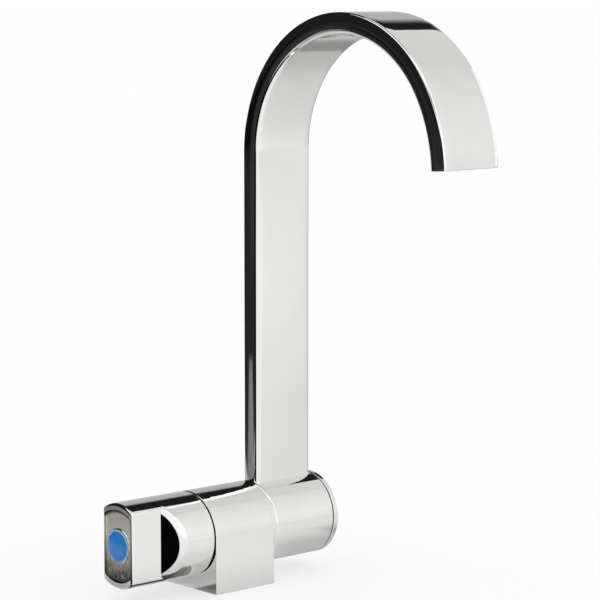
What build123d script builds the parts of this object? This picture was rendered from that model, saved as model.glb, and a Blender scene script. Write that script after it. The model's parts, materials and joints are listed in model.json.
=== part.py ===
from build123d import *
from math import asin, cos, degrees, radians, sin
import os

os.makedirs("parts", exist_ok=True)

# Cold water tap, in millimetres.
# The barrel lies along X, from the knob at the low end to the end cap at the high end.
# The spout stands up and reaches towards low Y, and its sleeve turns about the barrel axis.
# The origin is the centre of the block's underside, and Z points up.

# Barrel and block
barrel_radius = 17.0
axis_height = 22.5
block_width = 30.5
block_edge_chamfer = 0.35
collar_length = 1.0
barrel_edge_chamfer = 0.3

# Gaps that show between the barrel's pieces
knob_gap = 0.75
sleeve_gap = 0.25
cap_gap = 0.2

# Fits between pieces of one body, and between pieces that turn in each other
seat_gap = 0.02
press_gap = 0.01
running_gap = 0.05
seal_gap = 0.02

# Underside: inlet thread, fixing threads and gasket
inlet_thread_radius = 4.5
inlet_thread_depth = 9.0
inlet_drill_radius = 3.5
stud_thread_radius = 2.5
stud_thread_depth = 9.0
stud_spacing = 18.0
stud_offset = 7.0
gasket_margin = 2.4
gasket_width = 2.0
gasket_thickness = 1.5
gasket_corner_radius = 3.0

# Knob
knob_length = 35.5
knob_skirt_wall = 2.6
knob_end_fillet = 1.1
tongue_half_width = 9.1
tongue_corner_radius = 1.6
tongue_length = 14.5
shoulder_lean_angle = 35.5
shoulder_fillet = 4.2
plate_recess = 0.8
plate_thickness = 1.2
plate_rim_side = 0.7
plate_rim_end = 2.4
plate_ledge = 1.5
plate_corner_radius = 1.0
tongue_wall = 2.2
front_depth = 10.5
web_thickness = 2.2
hub_length = 8.4
hub_radius = 7.0

# Blue index button
index_radius = 7.1
index_seat_radius = 6.1
index_flange_thickness = 0.5
index_flange_chamfer = 0.25
index_flange_land = 0.25
index_seat_depth = 2.2
lens_radius = 6.35
lens_rise = 1.35
lens_edge_height = 0.35
lens_thickness = 0.9
lens_foot_radius = 5.2

# Knob screw
handle_screw_radius = 2.0
handle_screw_head_radius = 3.6
handle_screw_head_height = 2.4
handle_screw_reach = 7.5
handle_screw_socket = 2.5
handle_screw_socket_depth = 1.3

# Headwork with ceramic discs
headwork_bore_depth = 20.5
headwork_thread_radius = 8.3
headwork_skirt_wall = 1.0
headwork_hexagon = 17.0
headwork_hexagon_length = 5.0
headwork_neck_radius = 6.2
headwork_washer_radius = 10.6
headwork_washer_thickness = 1.2
disc_thickness = 2.5
disc_web_radius = 1.5
disc_opening_rim = 1.5
disc_opening_angle = 84.0
seat_seal_thickness = 2.0
seat_seal_rim = 0.3
drive_bar_width = 4.4
drive_bar_thickness = 1.8
drive_lug_depth = 1.0
drive_lug_length = 2.2
window_length = 5.0
window_width = 8.0
window_margin = 0.3
chamber_radius = 10.2
chamber_margin = 0.5
gland_step = 1.0
passage_radius = 4.0
partition_thickness = 3.0

# Spindle
stem_radius = 4.0
spindle_flat_half = 3.35
spline_tip_radius = 3.3
spline_root_radius = 2.95
spline_teeth = 20
spline_tooth_width = 0.5
spline_fit = 0.05
spindle_ring_half = 0.8
spindle_ring_pitch = 3.2
spindle_ring_inset = 1.8
circlip_thickness = 0.8
circlip_groove_depth = 0.4
circlip_radius = 5.2
circlip_opening_angle = 70.0
circlip_gap = 0.3

# Quarter turn stop
handle_travel_angle = 90.0
stop_collar_thickness = 1.8
stop_collar_ring = 0.85
stop_lug_angle = 30.0
stop_lug_middle_angle = 135.0
stop_play_angle = 0.6
stop_segment_inset = 0.15

# Guide ring of the knob
guide_ring_length = 4.0
guide_ring_seat = 1.0
guide_ring_wall = 1.6

# Swivel axle
axle_shoulder_width = 2.5
axle_bore_radius = 4.5
axle_port_radius = 2.6
axle_end_wall = 2.0
axle_washer_thickness = 1.0
axle_ring_half = 1.3
groove_side_gap = 0.15
groove_land = 0.5
water_gallery_length = 6.6

# Sleeve and its bushes
sleeve_length = 31.4
sleeve_wall = 4.5
bush_space = 1.0
gallery_depth = 0.8
near_bush_length = 4.8
far_bush_length = 4.8
far_flange_thickness = 1.0
flange_side_gap = 0.6
end_bore_wall = 2.8

# Fold stop
fold_travel_angle = 90.0
stop_pin_radius = 1.15
stop_pin_inset = 2.4
stop_pin_angle = -45.0
stop_pin_seat = 6.0
stop_pin_proud = 2.4
stop_pin_chamfer = 0.3
stop_slot_gap = 0.12
stop_slot_floor_gap = 0.5

# Retention at the far end
spring_height = 1.1
spring_thickness = 0.6
retaining_washer_thickness = 2.0
retaining_screw_radius = 3.0
retaining_screw_reach = 8.0
retaining_head_radius = 5.0
retaining_head_height = 2.6
retaining_socket = 4.0
retaining_socket_depth = 1.5

# End cap
cap_thickness = 2.3
cap_edge_chamfer = 0.5
cap_boss_length = 2.9
cap_boss_wall = 1.7
cap_ring_half = 0.6

# Ribbon spout
ribbon_width = 29.5
ribbon_thickness = 8.4
ribbon_near_margin = 0.6
ribbon_edge_radius = 2.0
ribbon_wall = 1.1
foot_depth = 1.4
foot_fit = 0.03
foot_port_width = 5.6
foot_port_depth = 4.6
foot_port_corner = 1.15
arch_start_height = 173.4
arch_radius = 52.4
arch_angle = 151.0
arch_tail_radius = 63.4
arch_tail_angle = 25.7

# Flow straightener in the mouth
insert_recess = 1.0
insert_length = 6.0
insert_fit = 0.05
insert_slot_count = 9
insert_slot_width = 1.7
insert_slot_rim = 1.0

# Places along the barrel
block_near = -block_width / 2
block_far = block_width / 2
collar_face = block_far + collar_length
sleeve_near = collar_face + sleeve_gap
sleeve_far = sleeve_near + sleeve_length
cap_near = sleeve_far + cap_gap
cap_far = cap_near + cap_thickness
knob_back = block_near - knob_gap
knob_front = knob_back - knob_length

# Knob and spindle places, counted back from the knob's front
plate_back = knob_front + plate_recess + plate_thickness
plate_front = knob_front + plate_recess
tongue_foot = knob_front + tongue_length
web_front = knob_front + front_depth
web_back = web_front + web_thickness
spindle_end = web_back + seat_gap
hub_back = web_back + hub_length
circlip_front = hub_back + circlip_gap
circlip_back = circlip_front + circlip_thickness
stop_collar_back = circlip_back + stop_collar_thickness
neck_end = stop_collar_back + running_gap

# Headwork places, counted out from the valve seat
seat_face = block_near + headwork_bore_depth
fixed_disc_far = seat_face - seat_seal_thickness
fixed_disc_near = fixed_disc_far - disc_thickness
turning_disc_far = fixed_disc_near - seat_gap
turning_disc_near = turning_disc_far - disc_thickness
drive_bar_far = turning_disc_near - seat_gap
drive_bar_near = drive_bar_far - drive_bar_thickness
window_far = drive_bar_near - window_margin
window_near = window_far - window_length
gland_face = window_near - gland_step
inlet_place = (window_near + window_far) / 2
skirt_bore = headwork_thread_radius - headwork_skirt_wall
disc_radius = skirt_bore - running_gap
hexagon_front = block_near - headwork_hexagon_length

# Swivel places, counted out from the collar
axle_socket = seat_face + partition_thickness
bush_near = collar_face + running_gap
groove_width = 2 * (axle_ring_half + groove_side_gap)
near_groove = sleeve_near + near_bush_length + groove_land
gallery_near = near_groove + groove_width + groove_land
gallery_far = gallery_near + water_gallery_length
far_groove = gallery_far + groove_land
far_bush_near = far_groove + groove_width + groove_land
end_bore_floor = far_bush_near + far_bush_length
flange_far = end_bore_floor + far_flange_thickness
spring_near = flange_far + running_gap
axle_end = spring_near + spring_height
washer_far = axle_end + retaining_washer_thickness
axle_bore_end = axle_end - retaining_screw_reach - axle_end_wall
axle_port_place = (gallery_near + gallery_far) / 2

# Ribbon places
ribbon_near = sleeve_near + ribbon_near_margin
ribbon_middle = ribbon_near + ribbon_width / 2
foot_floor = axis_height + barrel_radius - foot_depth
arch_centre = (-arch_radius, arch_start_height)
arch_step = arch_radius - arch_tail_radius
tail_centre = (
    arch_centre[0] + arch_step * cos(radians(arch_angle)),
    arch_centre[1] + arch_step * sin(radians(arch_angle)),
)
mouth_angle = arch_angle + arch_tail_angle

# Radii of the swivel, counted in from the barrel's surface
sleeve_bore_radius = barrel_radius - sleeve_wall
axle_radius = sleeve_bore_radius - bush_space
axle_thread_radius = axle_radius - axle_shoulder_width
end_bore_radius = barrel_radius - end_bore_wall
far_flange_radius = end_bore_radius - flange_side_gap
stop_pin_circle = barrel_radius - stop_pin_inset
bush_inner_radius = axle_radius + running_gap
bush_outer_radius = sleeve_bore_radius - press_gap
axle_ring_circle = sleeve_bore_radius - seal_gap - axle_ring_half

barrel_axis = Axis((0, 0, axis_height), (1, 0, 0))
barrel_plane = Plane(origin=(0, 0, axis_height), x_dir=(1, 0, 0), z_dir=(0, -1, 0))


def station(place):
    """Plane across the barrel at a place along it, with its middle on the axis."""
    return Plane(origin=(place, 0, axis_height), x_dir=(0, 1, 0), z_dir=(1, 0, 0))


def turned_profile(*corners):
    """Half section of a turned piece, from corners given as place and radius."""
    with BuildSketch(barrel_plane) as profile:
        with BuildLine():
            Polyline(*corners, close=True)
        make_face()
    return profile.sketch


def ring_section(place, circle, half):
    """Square section of a seal ring at a place, on a circle about the axis."""
    with BuildSketch(barrel_plane) as profile:
        with Locations((place, circle)):
            Rectangle(2 * half, 2 * half)
    return profile.sketch


def ring_sector(inner, outer, start, sweep_angle):
    """Part of a flat ring between two radii, from a start angle over a sweep."""
    reach = 2 * outer
    steps = max(2, round(sweep_angle / 60) + 1)
    turns = [radians(start + sweep_angle * i / (steps - 1)) for i in range(steps)]
    rim = [(reach * cos(turn), reach * sin(turn)) for turn in turns]
    with BuildSketch() as sector:
        with BuildLine():
            Polyline((0, 0), *rim, close=True)
        make_face()
        Circle(outer, mode=Mode.INTERSECT)
        Circle(inner, mode=Mode.SUBTRACT)
    return sector.sketch


def bow_tie(middle):
    """Two opposite openings of a ceramic disc, centred on an angle."""
    outer = disc_radius - disc_opening_rim
    start = middle - disc_opening_angle / 2
    with BuildSketch() as openings:
        for turn in (start, start + 180):
            add(ring_sector(disc_web_radius, outer, turn, disc_opening_angle))
    return openings.sketch


def tongue_outline(plane, side_margin, end_margin, corner):
    """Outline of the knob's tongue: flat sides and round ends, set in by margins."""
    half_width = tongue_half_width - side_margin
    with BuildSketch(plane) as outline:
        Circle(barrel_radius - end_margin)
        Rectangle(2 * half_width, 4 * barrel_radius, mode=Mode.INTERSECT)
        fillet(outline.vertices(), corner)
    return outline.sketch


def splined_outline(plane, fit):
    """Section of the spindle's spline, enlarged by a fit for the knob's bore."""
    tooth_height = spline_tip_radius - spline_root_radius
    with BuildSketch(plane) as outline:
        Circle(spline_root_radius + fit)
        with PolarLocations(spline_root_radius, spline_teeth):
            Rectangle(2 * (tooth_height + fit), spline_tooth_width + 2 * fit)
    return outline.sketch


def ribbon_profile(plane, half, start_angle=0.0, end_angle=mouth_angle):
    """Side view of the ribbon: the centre line with half a thickness on each side.

    A start turn of zero takes in the straight riser down to its foot.
    """
    outer_arch = arch_radius + half
    inner_arch = arch_radius - half
    outer_tail = arch_tail_radius + half
    inner_tail = arch_tail_radius - half
    tail_start = max(start_angle, arch_angle)
    tail_angle = end_angle - tail_start
    with BuildSketch(plane) as profile:
        with BuildLine():
            outer = CenterArc(tail_centre, outer_tail, tail_start, tail_angle)
            inner = CenterArc(tail_centre, inner_tail, tail_start, tail_angle)
            Line(outer @ 1, inner @ 1)
            if start_angle < arch_angle:
                CenterArc(arch_centre, outer_arch, 0, arch_angle)
                CenterArc(arch_centre, inner_arch, 0, arch_angle)
                Line((half, arch_start_height), (half, foot_floor))
                Line((half, foot_floor), (-half, foot_floor))
                Line((-half, foot_floor), (-half, arch_start_height))
            else:
                Line(outer @ 0, inner @ 0)
        make_face()
    return profile.sketch


# Tap body: block with a round top, a collar beside it, and the bores for valve and axle
with BuildPart() as tap_body:
    with BuildSketch(Plane.YZ.offset(block_near)):
        with Locations((0, axis_height)):
            Circle(barrel_radius)
        with Locations((0, axis_height / 2)):
            Rectangle(2 * barrel_radius, axis_height)
    extrude(amount=block_width)
    block_sides = tap_body.faces().filter_by(Axis.X)
    chamfer(block_sides.edges(), block_edge_chamfer)
    with BuildSketch(station(block_far - 2 * block_edge_chamfer)):
        Circle(barrel_radius)
    extrude(amount=collar_length + 2 * block_edge_chamfer)
    collar_rim = tap_body.faces().sort_by(Axis.X)[-1].edges()
    chamfer(collar_rim, barrel_edge_chamfer)
    bore_radius = headwork_thread_radius + seat_gap
    socket_radius = axle_thread_radius + seat_gap
    washer_seat = headwork_washer_radius + seat_gap
    revolve(
        turned_profile(
            (block_near, 0),
            (block_near, washer_seat),
            (block_near + headwork_washer_thickness, washer_seat),
            (block_near + headwork_washer_thickness, bore_radius),
            (window_near - chamber_margin, bore_radius),
            (window_near - chamber_margin, chamber_radius),
            (window_far + chamber_margin, chamber_radius),
            (window_far + chamber_margin, bore_radius),
            (seat_face, bore_radius),
            (seat_face, passage_radius),
            (axle_socket, passage_radius),
            (axle_socket, socket_radius),
            (collar_face - axle_washer_thickness, socket_radius),
            (collar_face - axle_washer_thickness, axle_radius + seat_gap),
            (collar_face, axle_radius + seat_gap),
            (collar_face, 0),
        ),
        axis=barrel_axis,
        mode=Mode.SUBTRACT,
    )
    guide_outer = barrel_radius - knob_skirt_wall - running_gap
    revolve(
        turned_profile(
            (block_near, guide_outer - guide_ring_wall - seat_gap),
            (block_near + guide_ring_seat, guide_outer - guide_ring_wall - seat_gap),
            (block_near + guide_ring_seat, guide_outer + seat_gap),
            (block_near, guide_outer + seat_gap),
        ),
        axis=barrel_axis,
        mode=Mode.SUBTRACT,
    )
    with BuildSketch(Plane.XY):
        with Locations((inlet_place, 0)):
            Circle(inlet_thread_radius)
    extrude(amount=inlet_thread_depth, mode=Mode.SUBTRACT)
    with BuildSketch(Plane.XY):
        with Locations((inlet_place, 0)):
            Circle(inlet_drill_radius)
    extrude(amount=axis_height - headwork_thread_radius, mode=Mode.SUBTRACT)
    with BuildSketch(Plane.XY):
        with Locations((stud_offset, 0)):
            with GridLocations(0, stud_spacing, 1, 2):
                Circle(stud_thread_radius)
    extrude(amount=stud_thread_depth, mode=Mode.SUBTRACT)
    gasket_long = 2 * (barrel_radius - gasket_margin)
    gasket_short = block_width - 2 * gasket_margin
    gasket_hollow_short = gasket_short - 2 * gasket_width
    gasket_hollow_long = gasket_long - 2 * gasket_width
    gasket_inner_corner = gasket_corner_radius - gasket_width
    with BuildSketch(Plane.XY):
        RectangleRounded(gasket_short, gasket_long, gasket_corner_radius)
        RectangleRounded(
            gasket_hollow_short, gasket_hollow_long, gasket_inner_corner, mode=Mode.SUBTRACT
        )
    extrude(amount=gasket_thickness, mode=Mode.SUBTRACT)
    with BuildSketch(station(collar_face)):
        with PolarLocations(stop_pin_circle, 1, stop_pin_angle):
            Circle(stop_pin_radius + press_gap)
    extrude(amount=-stop_pin_seat, mode=Mode.SUBTRACT)
tap_body.part.label = "tap_body"
export_step(tap_body.part, "parts/tap_body.step")

# Base gasket: rubber ring that fills the groove of the underside
with BuildPart() as base_gasket:
    with BuildSketch(Plane.XY):
        RectangleRounded(
            gasket_short - 2 * seat_gap, gasket_long - 2 * seat_gap, gasket_corner_radius - seat_gap
        )
        RectangleRounded(
            gasket_hollow_short + 2 * seat_gap,
            gasket_hollow_long + 2 * seat_gap,
            gasket_inner_corner + seat_gap,
            mode=Mode.SUBTRACT,
        )
    extrude(amount=gasket_thickness)
base_gasket.part.label = "base_gasket"
export_step(base_gasket.part, "parts/base_gasket.step")

# Headwork body: skirt round the discs, two windows, hexagon, neck and stop segment
with BuildPart() as headwork_body:
    gland_bore = stem_radius + running_gap
    revolve(
        turned_profile(
            (fixed_disc_far, skirt_bore),
            (fixed_disc_far, headwork_thread_radius),
            (block_near, headwork_thread_radius),
            (block_near, headwork_neck_radius),
            (neck_end, headwork_neck_radius),
            (neck_end, gland_bore),
            (gland_face, gland_bore),
            (gland_face, skirt_bore),
        ),
        axis=barrel_axis,
    )
    with BuildSketch(station(hexagon_front)):
        RegularPolygon(headwork_hexagon / 2, 6, major_radius=False)
        Circle(gland_bore, mode=Mode.SUBTRACT)
    extrude(amount=headwork_hexagon_length)
    with BuildSketch(Plane.XY.offset(axis_height)):
        with Locations((inlet_place, 0)):
            Rectangle(window_length, window_width)
    extrude(amount=chamber_radius, both=True, mode=Mode.SUBTRACT)
    stop_half_free_angle = (stop_lug_angle + handle_travel_angle) / 2 + stop_play_angle
    stop_free_middle_angle = stop_lug_middle_angle - handle_travel_angle / 2
    stop_segment = ring_sector(
        stem_radius + stop_collar_ring + stop_segment_inset,
        headwork_neck_radius,
        stop_free_middle_angle + stop_half_free_angle,
        360 - 2 * stop_half_free_angle,
    )
    with BuildSketch(station(neck_end)):
        add(stop_segment)
    extrude(amount=-(stop_collar_thickness - running_gap))
headwork_body.part.label = "headwork_body"
export_step(headwork_body.part, "parts/headwork_body.step")

# Headwork washer: flat ring between the hexagon and the block
with BuildPart() as headwork_washer:
    revolve(
        turned_profile(
            (block_near, headwork_thread_radius + seat_gap),
            (block_near, headwork_washer_radius),
            (block_near + headwork_washer_thickness, headwork_washer_radius),
            (block_near + headwork_washer_thickness, headwork_thread_radius + seat_gap),
        ),
        axis=barrel_axis,
    )
headwork_washer.part.label = "headwork_washer"
export_step(headwork_washer.part, "parts/headwork_washer.step")

# Seat seal: rubber ring pressed between the fixed disc and the valve seat
with BuildPart() as seat_seal:
    revolve(
        turned_profile(
            (fixed_disc_far, passage_radius),
            (fixed_disc_far, skirt_bore - seat_seal_rim),
            (seat_face, skirt_bore - seat_seal_rim),
            (seat_face, passage_radius),
        ),
        axis=barrel_axis,
    )
seat_seal.part.label = "seat_seal"
export_step(seat_seal.part, "parts/seat_seal.step")

# Fixed disc: ceramic disc whose openings lie above and below the axis
with BuildPart() as fixed_disc:
    with BuildSketch(station(fixed_disc_near)):
        Circle(disc_radius)
    extrude(amount=disc_thickness)
    with BuildSketch(station(fixed_disc_near)):
        add(bow_tie(90))
    extrude(amount=disc_thickness, mode=Mode.SUBTRACT)
fixed_disc.part.label = "fixed_disc"
export_step(fixed_disc.part, "parts/fixed_disc.step")

# Guide ring: plastic ring in the block's side that centres the knob's skirt
with BuildPart() as knob_guide_ring:
    revolve(
        turned_profile(
            (block_near + guide_ring_seat - guide_ring_length, guide_outer - guide_ring_wall),
            (block_near + guide_ring_seat, guide_outer - guide_ring_wall),
            (block_near + guide_ring_seat, guide_outer),
            (block_near + guide_ring_seat - guide_ring_length, guide_outer),
        ),
        axis=barrel_axis,
    )
knob_guide_ring.part.label = "knob_guide_ring"
export_step(knob_guide_ring.part, "parts/knob_guide_ring.step")

# Swivel axle: screwed into the block, hollow as far as its cross hole, with two ring grooves
with BuildPart() as swivel_axle:
    groove_floor = axle_ring_circle - axle_ring_half - seal_gap
    revolve(
        turned_profile(
            (axle_socket, axle_bore_radius),
            (axle_socket, axle_thread_radius),
            (collar_face, axle_thread_radius),
            (collar_face, axle_radius),
            (near_groove, axle_radius),
            (near_groove, groove_floor),
            (near_groove + groove_width, groove_floor),
            (near_groove + groove_width, axle_radius),
            (far_groove, axle_radius),
            (far_groove, groove_floor),
            (far_groove + groove_width, groove_floor),
            (far_groove + groove_width, axle_radius),
            (axle_end, axle_radius),
            (axle_end, retaining_screw_radius + seat_gap),
            (axle_end - retaining_screw_reach, retaining_screw_radius + seat_gap),
            (axle_end - retaining_screw_reach, 0),
            (axle_bore_end, 0),
            (axle_bore_end, axle_bore_radius),
        ),
        axis=barrel_axis,
    )
    with BuildSketch(Plane.XY.offset(axis_height)):
        with Locations((axle_port_place, 0)):
            Circle(axle_port_radius)
    extrude(amount=2 * axle_radius, both=True, mode=Mode.SUBTRACT)
swivel_axle.part.label = "swivel_axle"
export_step(swivel_axle.part, "parts/swivel_axle.step")

# Axle washer: flat ring under the axle's shoulder
with BuildPart() as axle_washer:
    revolve(
        turned_profile(
            (collar_face - axle_washer_thickness, axle_thread_radius + seat_gap),
            (collar_face, axle_thread_radius + seat_gap),
            (collar_face, axle_radius),
            (collar_face - axle_washer_thickness, axle_radius),
        ),
        axis=barrel_axis,
    )
axle_washer.part.label = "axle_washer"
export_step(axle_washer.part, "parts/axle_washer.step")

# Axle seal rings: one on each side of the water gallery
with BuildPart() as axle_seal_rings:
    for groove in (near_groove, far_groove):
        middle = groove + groove_width / 2
        revolve(ring_section(middle, axle_ring_circle, axle_ring_half), axis=barrel_axis)
axle_seal_rings.part.label = "axle_seal_rings"
export_step(axle_seal_rings.part, "parts/axle_seal_rings.step")

# Stop pin: pressed into the collar, with its free end in the sleeve's slot
with BuildPart() as stop_pin:
    with BuildSketch(station(collar_face - stop_pin_seat)):
        with PolarLocations(stop_pin_circle, 1, stop_pin_angle):
            Circle(stop_pin_radius)
    extrude(amount=stop_pin_seat + sleeve_gap + stop_pin_proud)
    chamfer(stop_pin.edges().sort_by(Axis.X)[-1], stop_pin_chamfer)
stop_pin.part.label = "stop_pin"
export_step(stop_pin.part, "parts/stop_pin.step")

# Disc spring: coned ring between the far bush and the retaining washer
with BuildPart() as disc_spring:
    spring_inner = axle_radius + running_gap
    spring_lift = spring_height - spring_thickness
    revolve(
        turned_profile(
            (spring_near, far_flange_radius),
            (spring_near + spring_thickness, far_flange_radius),
            (spring_near + spring_thickness + spring_lift, spring_inner),
            (spring_near + spring_lift, spring_inner),
        ),
        axis=barrel_axis,
    )
disc_spring.part.label = "disc_spring"
export_step(disc_spring.part, "parts/disc_spring.step")

# Retaining washer: clamped on the axle's end, wide enough to hold the sleeve
with BuildPart() as retaining_washer:
    revolve(
        turned_profile(
            (axle_end, retaining_screw_radius + running_gap),
            (washer_far, retaining_screw_radius + running_gap),
            (washer_far, far_flange_radius),
            (axle_end, far_flange_radius),
        ),
        axis=barrel_axis,
    )
retaining_washer.part.label = "retaining_washer"
export_step(retaining_washer.part, "parts/retaining_washer.step")

# Retaining screw: low head with a hexagon socket
with BuildPart() as retaining_screw:
    revolve(
        turned_profile(
            (axle_end - retaining_screw_reach, 0),
            (axle_end - retaining_screw_reach, retaining_screw_radius),
            (washer_far, retaining_screw_radius),
            (washer_far, retaining_head_radius),
            (washer_far + retaining_head_height, retaining_head_radius),
            (washer_far + retaining_head_height, 0),
        ),
        axis=barrel_axis,
    )
    with BuildSketch(station(washer_far + retaining_head_height)):
        RegularPolygon(retaining_socket / 2, 6, major_radius=False)
    extrude(amount=-retaining_socket_depth, mode=Mode.SUBTRACT)
retaining_screw.part.label = "retaining_screw"
export_step(retaining_screw.part, "parts/retaining_screw.step")

# Knob shoulder: the round skirt's end, leaning back from the foot of one flat side
with BuildPart() as knob_shoulder:
    with BuildSketch(station(knob_back)):
        Circle(barrel_radius)
    extrude(amount=-2 * knob_length)
    chamfer(knob_shoulder.faces().sort_by(Axis.X)[-1].edges(), barrel_edge_chamfer)
    lean_normal = (cos(radians(shoulder_lean_angle)), sin(radians(shoulder_lean_angle)), 0)
    foot = (tongue_foot, -tongue_half_width, axis_height)
    split(bisect_by=Plane(origin=foot, z_dir=lean_normal), keep=Keep.TOP)
    fillet(knob_shoulder.edges().filter_by(GeomType.ELLIPSE), shoulder_fillet)
    split(bisect_by=Plane.XZ, keep=Keep.TOP)

# Knob: flat tongue with two leaning shoulders, hollow skirt, splined hub and front pocket
with BuildPart() as handle_knob:
    extrude(
        tongue_outline(station(knob_front), 0, 0, tongue_corner_radius),
        amount=hub_back - knob_front,
    )
    fillet(handle_knob.faces().sort_by(Axis.X)[0].edges(), knob_end_fillet)
    add(knob_shoulder.part)
    add(mirror(knob_shoulder.part, about=Plane.XZ))
    cavity_radius = barrel_radius - knob_skirt_wall
    with BuildSketch(station(knob_back)):
        Circle(cavity_radius)
    extrude(amount=hub_back - knob_back, mode=Mode.SUBTRACT)
    core_half = tongue_half_width - tongue_wall
    with BuildSketch(station(hub_back)):
        Circle(cavity_radius)
        Rectangle(2 * core_half, 2 * cavity_radius, mode=Mode.INTERSECT)
        Rectangle(2 * core_half, 2 * hub_radius, mode=Mode.SUBTRACT)
    extrude(amount=-hub_length, mode=Mode.SUBTRACT)
    extrude(
        tongue_outline(station(knob_front), plate_rim_side, plate_rim_end, plate_corner_radius),
        amount=plate_back - knob_front,
        mode=Mode.SUBTRACT,
    )
    extrude(
        tongue_outline(
            station(plate_back),
            plate_rim_side + plate_ledge,
            plate_rim_end + plate_ledge,
            plate_corner_radius,
        ),
        amount=web_front - plate_back,
        mode=Mode.SUBTRACT,
    )
    with BuildSketch(station(web_front)):
        Circle(handle_screw_radius + running_gap)
    extrude(amount=web_thickness, mode=Mode.SUBTRACT)
    extrude(splined_outline(station(web_back), spline_fit), amount=hub_length, mode=Mode.SUBTRACT)
handle_knob.part.label = "handle_knob"
export_step(handle_knob.part, "parts/handle_knob.step")

# End plate: fills the knob's recess and holds the index button
with BuildPart() as end_plate:
    extrude(
        tongue_outline(
            station(plate_front),
            plate_rim_side + running_gap,
            plate_rim_end + running_gap,
            plate_corner_radius,
        ),
        amount=plate_thickness,
    )
    with BuildSketch(station(plate_front)):
        Circle(index_seat_radius + seat_gap)
    extrude(amount=plate_thickness, mode=Mode.SUBTRACT)
end_plate.part.label = "end_plate"
export_step(end_plate.part, "parts/end_plate.step")

# Index ring: bright flanged ring pressed into the end plate
with BuildPart() as index_ring:
    flange_front = plate_front - index_flange_thickness
    lens_seat = plate_front - index_flange_land
    revolve(
        turned_profile(
            (flange_front, lens_radius + seat_gap),
            (flange_front, index_radius - index_flange_chamfer),
            (flange_front + index_flange_chamfer, index_radius),
            (plate_front, index_radius),
            (plate_front, index_seat_radius),
            (plate_front + index_seat_depth, index_seat_radius),
            (plate_front + index_seat_depth, lens_foot_radius + seat_gap),
            (lens_seat, lens_foot_radius + seat_gap),
            (lens_seat, lens_radius + seat_gap),
        ),
        axis=barrel_axis,
    )
index_ring.part.label = "index_ring"
export_step(index_ring.part, "parts/index_ring.step")

# Index lens: domed blue button with a foot that sits in the ring
with BuildPart() as index_lens:
    dome_edge = lens_seat - lens_edge_height
    dome_height = lens_rise - lens_edge_height
    dome_radius = (lens_radius**2 + dome_height**2) / (2 * dome_height)
    dome_centre = lens_seat - lens_rise + dome_radius
    dome_turn = degrees(asin(lens_radius / dome_radius))
    with BuildSketch(barrel_plane):
        with BuildLine():
            dome = CenterArc((dome_centre, 0), dome_radius, 180, -dome_turn)
            Polyline(
                dome @ 1,
                (lens_seat, lens_radius),
                (lens_seat, lens_foot_radius),
                (lens_seat + lens_thickness, lens_foot_radius),
                (lens_seat + lens_thickness, 0),
                dome @ 0,
            )
        make_face()
    revolve(axis=barrel_axis)
index_lens.part.label = "index_lens"
export_step(index_lens.part, "parts/index_lens.step")

# Handle screw: clamps the knob's web against the spindle's end
with BuildPart() as handle_screw:
    revolve(
        turned_profile(
            (web_front - handle_screw_head_height, 0),
            (web_front - handle_screw_head_height, handle_screw_head_radius),
            (web_front, handle_screw_head_radius),
            (web_front, handle_screw_radius),
            (spindle_end + handle_screw_reach, handle_screw_radius),
            (spindle_end + handle_screw_reach, 0),
        ),
        axis=barrel_axis,
    )
    with BuildSketch(station(web_front - handle_screw_head_height)):
        RegularPolygon(handle_screw_socket / 2, 6, major_radius=False)
    extrude(amount=handle_screw_socket_depth, mode=Mode.SUBTRACT)
handle_screw.part.label = "handle_screw"
export_step(handle_screw.part, "parts/handle_screw.step")

# Spindle: drive bar with two lugs, stem with two ring grooves, keyed flats and a spline
with BuildPart() as spindle:
    ring_circle = stem_radius + running_gap - seal_gap - spindle_ring_half
    ring_floor = ring_circle - spindle_ring_half - seal_gap
    ring_half = spindle_ring_half + groove_side_gap
    ring_places = [
        gland_face - gland_step - spindle_ring_inset - spindle_ring_pitch * i for i in range(2)
    ]
    circlip_floor = spline_root_radius - circlip_groove_depth
    with BuildSketch(station(drive_bar_near)):
        Circle(disc_radius)
        Rectangle(drive_bar_width, 4 * disc_radius, mode=Mode.INTERSECT)
    extrude(amount=drive_bar_thickness)
    lug_spacing = 2 * (disc_radius - drive_lug_length)
    with BuildSketch(station(drive_bar_far)):
        with GridLocations(0, lug_spacing, 1, 2):
            Rectangle(drive_bar_width / 2, drive_lug_length)
    extrude(amount=drive_lug_depth)
    with BuildSketch(station(drive_bar_near)):
        Circle(stem_radius)
    extrude(amount=circlip_back - drive_bar_near)
    with BuildSketch(station(circlip_back)):
        Circle(spline_root_radius)
    extrude(amount=hub_back - circlip_back)
    extrude(splined_outline(station(spindle_end), 0), amount=hub_length - seat_gap)
    for place in ring_places:
        revolve(
            turned_profile(
                (place - ring_half, ring_floor),
                (place + ring_half, ring_floor),
                (place + ring_half, stem_radius + running_gap),
                (place - ring_half, stem_radius + running_gap),
            ),
            axis=barrel_axis,
            mode=Mode.SUBTRACT,
        )
    revolve(
        turned_profile(
            (circlip_front, circlip_floor),
            (circlip_back, circlip_floor),
            (circlip_back, stem_radius),
            (circlip_front, stem_radius),
        ),
        axis=barrel_axis,
        mode=Mode.SUBTRACT,
    )
    flat_cut = stem_radius - spindle_flat_half
    with BuildSketch(station(circlip_back)):
        with GridLocations(0, 2 * spindle_flat_half + flat_cut, 1, 2):
            Rectangle(2 * stem_radius, flat_cut)
    extrude(amount=stop_collar_thickness, mode=Mode.SUBTRACT)
    with BuildSketch(station(spindle_end)):
        Circle(handle_screw_radius + seat_gap)
    extrude(amount=handle_screw_reach + seat_gap, mode=Mode.SUBTRACT)
spindle.part.label = "spindle"
export_step(spindle.part, "parts/spindle.step")

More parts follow.
